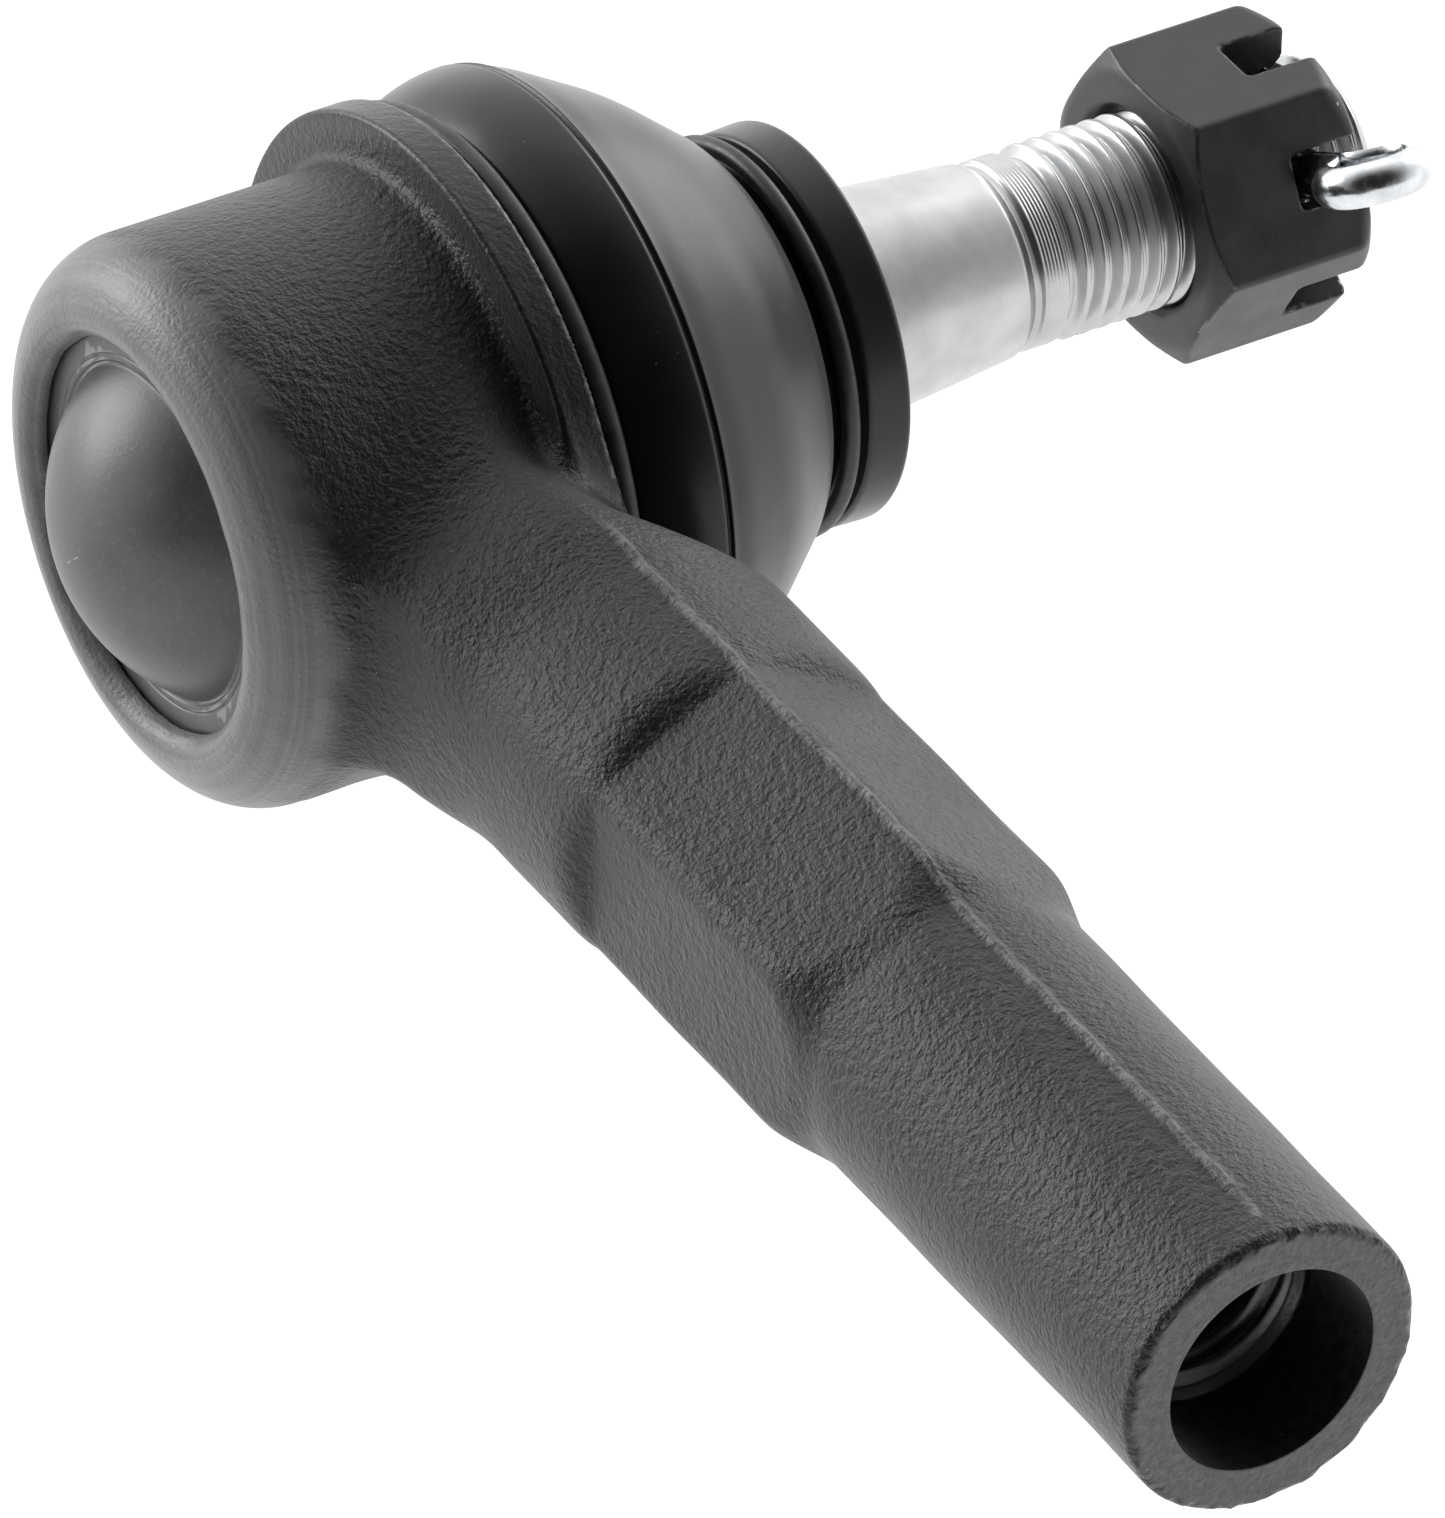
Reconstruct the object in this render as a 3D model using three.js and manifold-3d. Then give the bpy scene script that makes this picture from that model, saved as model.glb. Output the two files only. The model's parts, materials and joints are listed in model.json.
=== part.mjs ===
// Outer tie rod end: a forged socket housing with a threaded arm, a ball stud held by two bearing
// seats, a spring and a rolled-in cover plate, a dust boot with its two rings, a castle nut and a
// cotter pin.  Millimetres.  The ball centre is the working origin: +X runs along the arm, +Y along
// the stud towards the nut, +Z is up.  The finished group is moved so that it stands on z = 0.
import * as THREE from 'three';
import { mergeVertices } from 'three/addons/utils/BufferGeometryUtils.js';
import Module from 'manifold-3d';

const wasm = await Module();
wasm.setup();

// ---- driving dimensions ----
const THREAD_D = 12;                // of the stud and of the bore
const STUD_PITCH = 1.25;
const STUD_THREAD_DEPTH = 0.75;
const BORE_PITCH = 1.5;
const BORE_THREAD_DEPTH = 0.9;
const THREAD_FIT = 0.15;            // radial room between a thread and its mate
const THREAD_SIDES = 20;            // sides of every threaded round
const ROUND_SIDES = 36;             // sides of the other turned pieces

const BALL_R = 10.5;
const BALL_GAP = 0.06;              // room between the ball and its seats
const NECK_R = 6.3;
const TAPER_BIG_R = 7.1;
const TAPER_SMALL_R = 6.0;
const TAPER_START_Y = 29;
const TAPER_END_Y = 40.6;
const STUD_END_Y = 64.7;

const ARM_END_X = 96.5;
const TUBE_R = 9.5;
const TUBE_MOUTH_R = 8.95;
const HEX_FLATS = 19;               // across the wrench flats
const ROUND_BAR_X = 29;             // the arm is round from here to the wrench flats
const HEX_START_X = 37;
const HEX_END_X = 58.5;
const HEX_RUN_OUT = 5;
const SEAM_HEIGHT = 0.3;            // forging seam along the arm

const BORE_MOUTH_R = 6.5;
const BORE_MOUTH_DEPTH = 6.5;
const BORE_DEPTH = 30;

const SOCKET_R = 17.1;
const LIP_FRONT_Y = -16.8;
const LIP_ROUND_R = 4.8;
const OPENING_R = 11.85;
const COVER_SEAT_R = 13;
const CAVITY_R = 12;
const CAVITY_TOP_Y = 4.1;
const FLANGE_R = 20.3;
const FLANGE_Y = [2.1, 4.6];
const FLANGE_FILLET_R = 1;
const SPIGOT_R = 16.2;
const SPIGOT_TOP_Y = 7.4;
const THROAT_R = [10.9, 12.6];      // at the cavity and at the mouth

const COVER_R = 12.9;
const COVER_Y = [-15.2, -13.6];     // outer and inner face of its flange
const DOME_R = 10;
const DOME_RISE = 5.3;
const PLATE_T = 1.6;

const BOOT_MAX_R = 20.5;
const BOOT_MAX_Y = 11.2;
const BOOT_BULGE_R = 8;
const BOOT_NECK_R = 7.2;
const BOOT_TOP_Y = 28.6;
const RETAINING_RING_TOP_Y = 6.1;

const NUT_FLATS = 17;
const NUT_Y = [51.2, 62.2];
const SLOT_FLOOR_Y = 57.6;
const SLOT_W = 3.4;
const PIN_TURN = THREE.MathUtils.degToRad(30);   // the pin points at the middle of a flat
const PIN_Y = 59.6;
const PIN_R = 1.3;
const PIN_HOLE_R = 1.6;

// ---- geometry helpers ----

// A closed mesh from positions and triangles: coincident corners joined, empty triangles dropped,
// faces turned outwards.
function closedSolid(positions, triangles) {
  const geometry = new THREE.BufferGeometry();
  geometry.setAttribute('position', new THREE.Float32BufferAttribute(positions, 3));
  geometry.setIndex(triangles);
  const merged = mergeVertices(geometry, 1e-4);
  const at = merged.getAttribute('position').array;
  const kept = [];
  let volume = 0;
  for (let i = 0; i < merged.index.count; i += 3) {
    const [a, b, c] = [0, 1, 2].map((k) => merged.index.getX(i + k));
    if (a === b || b === c || c === a) continue;
    kept.push(a, b, c);
    const [p, q, r] = [a, b, c].map((k) => new THREE.Vector3().fromArray(at, 3 * k));
    volume += p.dot(q.cross(r));
  }
  if (volume < 0) kept.reverse();
  merged.setIndex(kept);
  return merged;
}

// Rings of points with the same number of points each, joined in order.  Open ends are closed with
// a fan; a looped stack joins its last ring to its first.
function stack(rings, looped = false) {
  const sides = rings[0].length;
  const positions = rings.flat(2);
  const triangles = [];
  const pairs = looped ? rings.length : rings.length - 1;
  for (let j = 0; j < pairs; j++) {
    const low = j * sides;
    const high = ((j + 1) % rings.length) * sides;
    for (let i = 0; i < sides; i++) {
      const next = (i + 1) % sides;
      triangles.push(low + i, high + i, high + next, low + i, high + next, low + next);
    }
  }
  if (!looped) {
    for (const [start, flip] of [[0, false], [(rings.length - 1) * sides, true]]) {
      for (let i = 1; i < sides - 1; i++) {
        triangles.push(start, start + (flip ? i + 1 : i), start + (flip ? i : i + 1));
      }
    }
  }
  return closedSolid(positions, triangles);
}

function ringAt(radius, y, sides) {
  return Array.from({ length: sides }, (_, i) => {
    const turn = (2 * Math.PI * i) / sides;
    return [radius * Math.cos(turn), y, radius * Math.sin(turn)];
  });
}

// A solid turned about Y from [radius, y] points.  A looped profile makes a ring-shaped solid.
function turned(profile, sides, looped = false) {
  return stack(profile.map(([radius, y]) => ringAt(radius, y, sides)), looped);
}

// Points [radius, y] on a circular arc, angles in degrees from +radius towards +y.
function arc(centreR, centreY, radius, from, to, steps) {
  return Array.from({ length: steps + 1 }, (_, i) => {
    const turn = THREE.MathUtils.degToRad(from + ((to - from) * i) / steps);
    return [centreR + radius * Math.cos(turn), centreY + radius * Math.sin(turn)];
  });
}

// Rings of a helical thread about Y between two heights.  Every ring follows the helix and is
// held inside the two heights, where the thread fades into its root circle.
function threadRings(crestR, rootR, fromY, toY, pitch) {
  const marks = [[0, 0], [0.25, 0], [0.5625, 1], [0.6875, 1]];   // pitch fraction, 1 at the crest
  const fade = (y) => THREE.MathUtils.clamp(Math.min(y - fromY, toY - y) / (0.3 * pitch), 0, 1);
  const rings = [];
  const first = Math.floor(fromY / pitch) - 1;
  const last = Math.ceil(toY / pitch);
  for (let turn = first; turn <= last; turn++) {
    for (const [part, crest] of marks) {
      rings.push(Array.from({ length: THREAD_SIDES + 1 }, (_, i) => {
        const angle = (2 * Math.PI * i) / THREAD_SIDES;
        const y = THREE.MathUtils.clamp(pitch * (turn + part + i / THREAD_SIDES), fromY, toY);
        const radius = rootR + (crestR - rootR) * crest * fade(y);
        return [radius * Math.cos(angle), y, radius * Math.sin(angle)];
      }));
    }
  }
  return rings;
}

// A solid turned about Y whose middle stretch is a helical thread.  below and above are [radius, y]
// points outside the thread; the first and last lie on the axis.
function threadedRound(below, above, crestR, rootR, fromY, toY, pitch) {
  const positions = [];
  const triangles = [];
  const addRings = (rings) => {
    for (let j = 0; j + 1 < rings.length; j++) {
      for (let i = 0; i < THREAD_SIDES; i++) {
        const base = positions.length / 3;
        positions.push(...rings[j][i], ...rings[j + 1][i], ...rings[j + 1][i + 1], ...rings[j][i + 1]);
        triangles.push(base, base + 1, base + 2, base, base + 2, base + 3);
      }
    }
  };
  const plain = (points) => points.map(([radius, y]) => {
    const ring = ringAt(radius, y, THREAD_SIDES);
    return [...ring, ring[0]];
  });
  addRings(plain([...below, [rootR, fromY]]));
  addRings(threadRings(crestR, rootR, fromY, toY, pitch));
  addRings(plain([[rootR, toY], ...above]));
  return closedSolid(positions, triangles);
}

// A section swept along a path lying near one plane.  Section points are [outward, across]: across
// runs along the fixed direction, outward is square to both the path and that direction.
function swept(path, across, section) {
  return stack(path.map((point, i) => {
    const before = path[Math.max(i - 1, 0)];
    const after = path[Math.min(i + 1, path.length - 1)];
    const outward = after.clone().sub(before).cross(across).normalize();
    return section.map(([out, over]) => point.clone()
      .addScaledVector(outward, out).addScaledVector(across, over).toArray());
  }));
}

function toManifold(geometry) {
  return new wasm.Manifold(new wasm.Mesh({
    numProp: 3,
    vertProperties: new Float32Array(geometry.getAttribute('position').array),
    triVerts: new Uint32Array(geometry.index.array),
  }));
}

function fromManifold(solid) {
  const mesh = solid.getMesh();
  return closedSolid(Array.from(mesh.vertProperties), Array.from(mesh.triVerts));
}

function cut(body, ...tools) {
  return fromManifold(tools.reduce((left, tool) => left.subtract(toManifold(tool)), toManifold(body)));
}

function joined(...bodies) {
  return fromManifold(bodies.map(toManifold).reduce((sum, body) => sum.add(body)));
}

function boxAt(width, height, depth, x, y, z) {
  const geometry = new THREE.BoxGeometry(width, height, depth);
  geometry.translate(x, y, z);
  return closedSolid(Array.from(geometry.getAttribute('position').array), Array.from(geometry.index.array));
}

// ---- the pieces ----

// One cross-section of the arm at x: an oval that turns into the wrench hexagon by hexShare.
function armSection({ x, centreY, halfY, halfZ, hexShare, seam = SEAM_HEIGHT }) {
  const seamHalfWidth = 2.5;
  const plain = Array.from({ length: 36 }, (_, i) => 10 * i);
  const atSeams = [90, 270].flatMap((angle) => [angle - seamHalfWidth, angle + seamHalfWidth]);
  return [...plain, ...atSeams].sort((a, b) => a - b).map((degrees) => {
    const turn = THREE.MathUtils.degToRad(degrees);
    const offFlat = THREE.MathUtils.degToRad(((degrees + 30) % 60) - 30);
    const oval = 1 / Math.hypot(Math.cos(turn) / halfY, Math.sin(turn) / halfZ);
    const hexagon = HEX_FLATS / 2 / Math.cos(offFlat);
    const onSeam = degrees % 180 === 90 ? seam : 0;
    const radius = THREE.MathUtils.lerp(oval, hexagon, hexShare) + onSeam;
    return [x, centreY + radius * Math.cos(turn), radius * Math.sin(turn)];
  });
}

function armBody() {
  const hexCornerR = HEX_FLATS / 2 / Math.cos(Math.PI / 6);
  const round = (x, radius, hexShare = 0, seam = SEAM_HEIGHT) => ({
    x, centreY: 0, halfY: radius, halfZ: radius, hexShare, seam,
  });
  const sections = [
    { x: 8, centreY: -5, halfY: 7.5, halfZ: 12.4, hexShare: 0, seam: 0 },
    { x: 17, centreY: -4.6, halfY: 7.6, halfZ: 12.2, hexShare: 0, seam: 0 },
    { x: 21, centreY: -3.2, halfY: 8.2, halfZ: 11.5, hexShare: 0 },
    { x: 25, centreY: -1.3, halfY: 9.7, halfZ: 11.1, hexShare: 0 },
    round(ROUND_BAR_X, hexCornerR),
    round(HEX_START_X, hexCornerR),
    round(HEX_START_X + 3, hexCornerR, 1),
    round(HEX_END_X, hexCornerR, 1),
    round(HEX_END_X + HEX_RUN_OUT / 2, TUBE_R + 0.4, 0.4),
    round(HEX_END_X + HEX_RUN_OUT, TUBE_R),
    round(ARM_END_X - 0.7, TUBE_R - 0.2),
    round(ARM_END_X, TUBE_MOUTH_R, 0, 0),
  ];
  return stack(sections.map(armSection));
}

function armBore() {
  const minorR = THREAD_D / 2 - BORE_THREAD_DEPTH;
  const threadEnd = ARM_END_X - BORE_MOUTH_DEPTH;
  const threadStart = ARM_END_X - BORE_DEPTH;
  const drillTip = threadStart - minorR / Math.sqrt(3);
  const bore = threadedRound(
    [[0, drillTip]],
    [[BORE_MOUTH_R, threadEnd + 1.2], [BORE_MOUTH_R, ARM_END_X + 1], [0, ARM_END_X + 1]],
    THREAD_D / 2, minorR, threadStart, threadEnd, BORE_PITCH,
  );
  bore.rotateZ(-Math.PI / 2);
  return bore;
}

function socketHousing() {
  const sides = 48;
  const lip = arc(OPENING_R + 0.45, LIP_FRONT_Y + LIP_ROUND_R, LIP_ROUND_R, -90, 0, 6);
  const barrelR = SOCKET_R + 0.2;
  const fillet = arc(barrelR + FLANGE_FILLET_R, FLANGE_Y[0] - FLANGE_FILLET_R, FLANGE_FILLET_R, 180, 90, 3);
  const outside = turned([
    [0, LIP_FRONT_Y],
    ...lip,
    [barrelR, -6],
    ...fillet,
    [FLANGE_R, FLANGE_Y[0]],
    [FLANGE_R, FLANGE_Y[1] - 0.2],
    [FLANGE_R - 0.2, FLANGE_Y[1]],
    [SPIGOT_R, FLANGE_Y[1]],
    [SPIGOT_R, SPIGOT_TOP_Y - 0.3],
    [SPIGOT_R - 0.3, SPIGOT_TOP_Y],
    [0, SPIGOT_TOP_Y],
  ], sides);
  const cavity = turned([
    [0, LIP_FRONT_Y - 1],
    [OPENING_R + 0.5, LIP_FRONT_Y - 1],
    [OPENING_R + 0.5, LIP_FRONT_Y],
    [OPENING_R, LIP_FRONT_Y + 0.5],
    [OPENING_R, COVER_Y[0] - 0.1],
    [COVER_SEAT_R, COVER_Y[0] - 0.1],
    [COVER_SEAT_R, COVER_Y[1] + 0.1],
    [CAVITY_R, COVER_Y[1] + 0.1],
    [CAVITY_R, CAVITY_TOP_Y],
    [THROAT_R[0], CAVITY_TOP_Y],
    [THROAT_R[1], SPIGOT_TOP_Y],
    [THROAT_R[1], SPIGOT_TOP_Y + 1],
    [0, SPIGOT_TOP_Y + 1],
  ], sides);
  return cut(joined(outside, armBody()), cavity, armBore());
}

function coverPlate() {
  const outerR = (DOME_R ** 2 + DOME_RISE ** 2) / (2 * DOME_RISE);
  const reach = THREE.MathUtils.radToDeg(Math.asin(DOME_R / outerR));
  const innerR = outerR - PLATE_T;
  const centreY = COVER_Y[0] - DOME_RISE + outerR;
  const innerReach = THREE.MathUtils.radToDeg(Math.acos((centreY - COVER_Y[1]) / innerR));
  return turned([
    ...arc(0, centreY, outerR, -90, -90 + reach, 9),
    [COVER_R, COVER_Y[0]],
    [COVER_R, COVER_Y[1]],
    ...arc(0, centreY, innerR, -90 + innerReach, -90, 8),
  ], ROUND_SIDES);
}

function preloadSpring() {
  const wireR = 0.55;
  const turns = 3;
  const steps = 48;
  const [bigR, smallR, topY, lowY] = [7.6, 5.4, -12.3, -16.4];
  const path = Array.from({ length: steps + 1 }, (_, i) => {
    const part = i / steps;
    const turn = 2 * Math.PI * turns * part;
    const radius = THREE.MathUtils.lerp(bigR, smallR, part);
    const height = THREE.MathUtils.lerp(topY, lowY, part);
    return new THREE.Vector3(radius * Math.cos(turn), height, radius * Math.sin(turn));
  });
  const section = Array.from({ length: 6 }, (_, i) => {
    const turn = (2 * Math.PI * i) / 6;
    return [wireR * Math.cos(turn), wireR * Math.sin(turn)];
  });
  return swept(path, new THREE.Vector3(0, 1, 0), section);
}

function lowerBearingSeat() {
  const seatR = BALL_R + BALL_GAP;
  const outerR = CAVITY_R - 0.1;
  const [rimY, floorY] = [-0.8, -11.6];
  const holeR = 5;
  const rimAngle = THREE.MathUtils.radToDeg(Math.asin(rimY / seatR));
  const holeAngle = -THREE.MathUtils.radToDeg(Math.acos(holeR / seatR));
  return turned([
    ...arc(0, 0, seatR, rimAngle, holeAngle, 7),
    [holeR, floorY],
    [outerR - 2, floorY],
    [outerR, floorY + 2],
    [outerR, rimY],
  ], ROUND_SIDES, true);
}

function upperBearingSeat() {
  const seatR = BALL_R + BALL_GAP;
  const outerR = CAVITY_R - 0.1;
  const [lowY, topY] = [-0.6, CAVITY_TOP_Y - 0.1];
  const lowAngle = THREE.MathUtils.radToDeg(Math.asin(lowY / seatR));
  const topAngle = THREE.MathUtils.radToDeg(Math.asin(topY / seatR));
  return turned([
    ...arc(0, 0, seatR, topAngle, lowAngle, 4),
    [outerR, lowY],
    [outerR, topY - 0.6],
    [outerR - 0.6, topY],
  ], ROUND_SIDES, true);
}

function cotterHole() {
  const hole = new THREE.CylinderGeometry(PIN_HOLE_R, PIN_HOLE_R, 2 * THREAD_D, 16);
  hole.rotateZ(Math.PI / 2);
  hole.rotateY(-PIN_TURN);
  hole.translate(0, PIN_Y, 0);
  hole.deleteAttribute('normal');
  hole.deleteAttribute('uv');
  const merged = mergeVertices(hole);
  return closedSolid(Array.from(merged.getAttribute('position').array), Array.from(merged.index.array));
}

function ballStud() {
  const bottomAngle = -66;
  const neckAngle = THREE.MathUtils.radToDeg(Math.acos(NECK_R / BALL_R));
  const ball = arc(0, 0, BALL_R, bottomAngle, neckAngle, 11);
  const threadTop = THREAD_D / 2 - 0.05;
  const threadRoot = threadTop - STUD_THREAD_DEPTH;
  const stud = threadedRound(
    [
      [0, ball[0][1]],
      ...ball,
      [NECK_R, 15],
      [TAPER_BIG_R, 21],
      [TAPER_BIG_R, TAPER_START_Y],
      [TAPER_SMALL_R, TAPER_END_Y],
      [threadTop - 0.25, TAPER_END_Y + 0.6],
      [threadTop - 0.25, TAPER_END_Y + 2],
    ],
    [[threadRoot - 0.3, STUD_END_Y], [0, STUD_END_Y]],
    threadTop, threadRoot, TAPER_END_Y + 2.4, STUD_END_Y - 0.5, STUD_PITCH,
  );
  return cut(stud, cotterHole());
}

function dustBoot() {
  const collarR = SPIGOT_R + 0.15;
  const bulgeStart = -37;
  return turned([
    // outside, from the housing to the neck
    [17.9, FLANGE_Y[1] + 0.15],
    [17.9, RETAINING_RING_TOP_Y + 0.1],
    ...arc(BOOT_MAX_R - BOOT_BULGE_R, BOOT_MAX_Y, BOOT_BULGE_R, bulgeStart, 0, 4),
    [BOOT_MAX_R - 0.5, BOOT_MAX_Y + 1],
    [16.9, 17.9],
    [13.4, 22],
    [12.2, 23.1],
    [10.9, 23.5],
    [10.9, 25.5],
    [11.8, 25.5],
    [12.1, 25.8],
    [12.1, BOOT_TOP_Y - 0.3],
    [11.8, BOOT_TOP_Y],
    // inside, back to the housing
    [BOOT_NECK_R, BOOT_TOP_Y],
    [BOOT_NECK_R, 23],
    [9.4, 22],
    [15.2, 16.7],
    [18.3, BOOT_MAX_Y + 0.6],
    [18.3, BOOT_MAX_Y - 1.4],
    [17, 8.4],
    [collarR, 7.8],
    [collarR, FLANGE_Y[1] + 0.15],
  ], ROUND_SIDES, true);
}

function bootRetainingRing() {
  const [innerR, outerR] = [18, 19.9];
  const [lowY, highY] = [FLANGE_Y[1] + 0.15, RETAINING_RING_TOP_Y];
  return turned([
    [innerR, lowY],
    [outerR - 0.3, lowY],
    [outerR, lowY + 0.4],
    [outerR, highY - 0.4],
    [outerR - 0.3, highY],
    [innerR, highY],
  ], ROUND_SIDES, true);
}

function bootNeckRing() {
  const [centreR, centreY, wireR] = [11.65, 24.55, 0.65];
  return turned(arc(centreR, centreY, wireR, 0, 300, 5), ROUND_SIDES, true);
}

function castleNut() {
  const cornerR = NUT_FLATS / 2 / Math.cos(Math.PI / 6);
  const flatR = NUT_FLATS / 2;
  const [lowY, highY] = NUT_Y;
  const hexagon = stack([lowY, highY].map((y) => ringAt(cornerR, y, 6)));
  const chamfer = turned([
    [0, lowY],
    [flatR - 0.6, lowY],
    [cornerR + 0.1, lowY + 1],
    [cornerR + 0.1, highY - 1.3],
    [flatR - 0.7, highY],
    [0, highY],
  ], 48);
  const block = fromManifold(toManifold(hexagon).intersect(toManifold(chamfer)));
  const crestR = THREAD_D / 2 - 0.05 + THREAD_FIT;
  const rootR = crestR - STUD_THREAD_DEPTH;
  const beyond = 2;
  const thread = threadedRound(
    [[0, lowY - beyond]], [[0, highY + beyond]], crestR, rootR, lowY - beyond, highY + beyond, STUD_PITCH,
  );
  const countersinks = [[lowY, -1], [highY, 1]].map(([faceY, out]) => turned([
    [0, faceY - 1.1 * out],
    [crestR - 0.6, faceY - 1.1 * out],
    [crestR + 0.5, faceY],
    [crestR + 0.5, faceY + out],
    [0, faceY + out],
  ], THREAD_SIDES));
  const slots = [0, 1, 2].map((k) => {
    const slot = boxAt(2.4 * cornerR, highY - SLOT_FLOOR_Y + 1, SLOT_W, 0, (SLOT_FLOOR_Y + highY + 1) / 2, 0);
    slot.rotateY(-PIN_TURN - (k * Math.PI) / 3);
    return slot;
  });
  return cut(block, thread, ...countersinks, ...slots);
}

// A split pin of half-round wire: out along one leg, round the eye and back along the other.
function cotterPin() {
  const [legStart, neckX, eyeX, eyeR] = [-15, 10.2, 14, 2.1];
  const split = 0.06;
  const eyeReach = 145;
  const eyeSteps = 12;
  const eye = Array.from({ length: eyeSteps + 1 }, (_, i) => {
    const turn = THREE.MathUtils.degToRad(eyeReach - (2 * eyeReach * i) / eyeSteps);
    return [eyeX + eyeR * Math.cos(turn), eyeR * Math.sin(turn)];
  });
  const path = [[legStart, split], [neckX - 1, split], [neckX, split + 0.1], ...eye,
    [neckX, -split - 0.1], [neckX - 1, -split], [legStart, -split]]
    .map(([along, up]) => new THREE.Vector3(along, up, 0));
  const section = Array.from({ length: 7 }, (_, i) => {
    const turn = THREE.MathUtils.degToRad(-90 + 30 * i);
    return [PIN_R * Math.cos(turn) * 0.96, PIN_R * Math.sin(turn)];
  });
  const pin = swept(path, new THREE.Vector3(0, 0, -1), section);
  pin.rotateY(-PIN_TURN);
  pin.translate(0, PIN_Y, 0);
  return pin;
}

// ---- assembly ----

const FORGED = { color: 0x3a3a3a, roughness: 0.75, metalness: 0.6 };
const COVER = { color: 0x6a6a6a, roughness: 0.45, metalness: 0.7 };
const STEEL = { color: 0xc8c8cc, roughness: 0.25, metalness: 1 };
const SPRING_STEEL = { color: 0x8a8a8e, roughness: 0.35, metalness: 1 };
const RUBBER = { color: 0x141414, roughness: 0.55, metalness: 0 };
const BLACK_RING = { color: 0x1a1a1a, roughness: 0.5, metalness: 0 };
const BEARING = { color: 0xd8d2c0, roughness: 0.5, metalness: 0 };
const NUT_OXIDE = { color: 0x4c4c4c, roughness: 0.4, metalness: 0.8 };
const ZINC = { color: 0xd4d8dc, roughness: 0.2, metalness: 1 };

const pieces = [
  ['socket_housing', socketHousing, FORGED],
  ['cover_plate', coverPlate, COVER],
  ['preload_spring', preloadSpring, SPRING_STEEL],
  ['lower_bearing_seat', lowerBearingSeat, BEARING],
  ['upper_bearing_seat', upperBearingSeat, BEARING],
  ['ball_stud', ballStud, STEEL],
  ['dust_boot', dustBoot, RUBBER],
  ['boot_retaining_ring', bootRetainingRing, BLACK_RING],
  ['boot_neck_ring', bootNeckRing, BLACK_RING],
  ['castle_nut', castleNut, NUT_OXIDE],
  ['cotter_pin', cotterPin, ZINC],
];

const part = new THREE.Group();
part.name = 'tie_rod_end';
for (const [name, build, look] of pieces) {
  const mesh = new THREE.Mesh(build(), new THREE.MeshStandardMaterial(look));
  mesh.name = name;
  part.add(mesh);
}
const bounds = new THREE.Box3().setFromObject(part);
const middle = bounds.getCenter(new THREE.Vector3());
part.position.set(-middle.x, -middle.y, -bounds.min.z);

export default part;
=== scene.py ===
"""A steering tie rod end: the look of each piece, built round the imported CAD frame.

Shapes are worked out in millimetres about the centre of the ball, with X along the arm,
Y along the stud and Z up, and moved into the frame's metres when a mesh is made.
"""
import math

import json

import bpy
import numpy as np
from mathutils import Matrix, Vector


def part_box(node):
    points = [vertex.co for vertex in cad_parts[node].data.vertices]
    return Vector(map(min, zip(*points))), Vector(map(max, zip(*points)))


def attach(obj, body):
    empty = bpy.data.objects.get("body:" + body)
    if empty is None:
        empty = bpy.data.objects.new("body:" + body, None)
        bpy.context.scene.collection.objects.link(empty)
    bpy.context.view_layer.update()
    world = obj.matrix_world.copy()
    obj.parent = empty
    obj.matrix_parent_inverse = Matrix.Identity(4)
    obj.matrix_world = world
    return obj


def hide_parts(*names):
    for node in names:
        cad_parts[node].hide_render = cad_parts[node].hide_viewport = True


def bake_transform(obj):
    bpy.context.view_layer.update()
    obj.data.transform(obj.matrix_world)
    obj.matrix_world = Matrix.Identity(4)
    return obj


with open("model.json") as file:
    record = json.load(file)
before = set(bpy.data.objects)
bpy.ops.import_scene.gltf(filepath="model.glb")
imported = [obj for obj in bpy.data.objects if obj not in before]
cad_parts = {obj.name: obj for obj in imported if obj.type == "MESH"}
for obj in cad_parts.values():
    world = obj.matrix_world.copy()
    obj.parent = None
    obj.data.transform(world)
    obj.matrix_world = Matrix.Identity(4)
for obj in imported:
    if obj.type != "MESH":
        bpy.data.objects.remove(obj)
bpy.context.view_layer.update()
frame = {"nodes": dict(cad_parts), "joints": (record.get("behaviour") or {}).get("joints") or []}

MM = 0.001
JOINTS = {joint["name"]: joint for joint in frame["joints"]}
BALL = np.array(JOINTS["stud_spin"]["pos_m"])
PIN_AXIS = np.array(JOINTS["split_pin_pull"]["axis"])
rng = np.random.default_rng(7)


def local_box(node):
    """A node's lowest and highest corners, in millimetres about the ball's centre."""
    low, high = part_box(node)
    return (np.array(low) - BALL) / MM, (np.array(high) - BALL) / MM


# ---------------------------------------------------------------- sizes, in mm

HOUSING_LOW, HOUSING_HIGH = local_box("socket_housing")
BOOT_HIGH = local_box("dust_boot")[1]
NUT_LOW, NUT_HIGH = local_box("castle_nut")
COVER_LOW, COVER_HIGH = local_box("cover_plate")
RING_LOW, RING_HIGH = local_box("boot_retaining_ring")
NECK_RING_LOW, NECK_RING_HIGH = local_box("boot_neck_ring")
STUD_HIGH = local_box("ball_stud")[1]

ARM_END_X = HOUSING_HIGH[0]
LIP_Y = HOUSING_LOW[1]
FLANGE_R = HOUSING_HIGH[2]
FLANGE_Y = (2.1, 4.6)
BARREL_R = 17.25
BARREL_END_Y = 3
LIP_ROUND_R = 4.85
SPIGOT_R = 16.2
SPIGOT_Y = (-2, 7.4)

OPENING_R = 11.85
OPENING_END_Y = -14
PLATE_T = 1.6
COVER_DOME_R = 10
COVER_EDGE_R = 12.9

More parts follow.
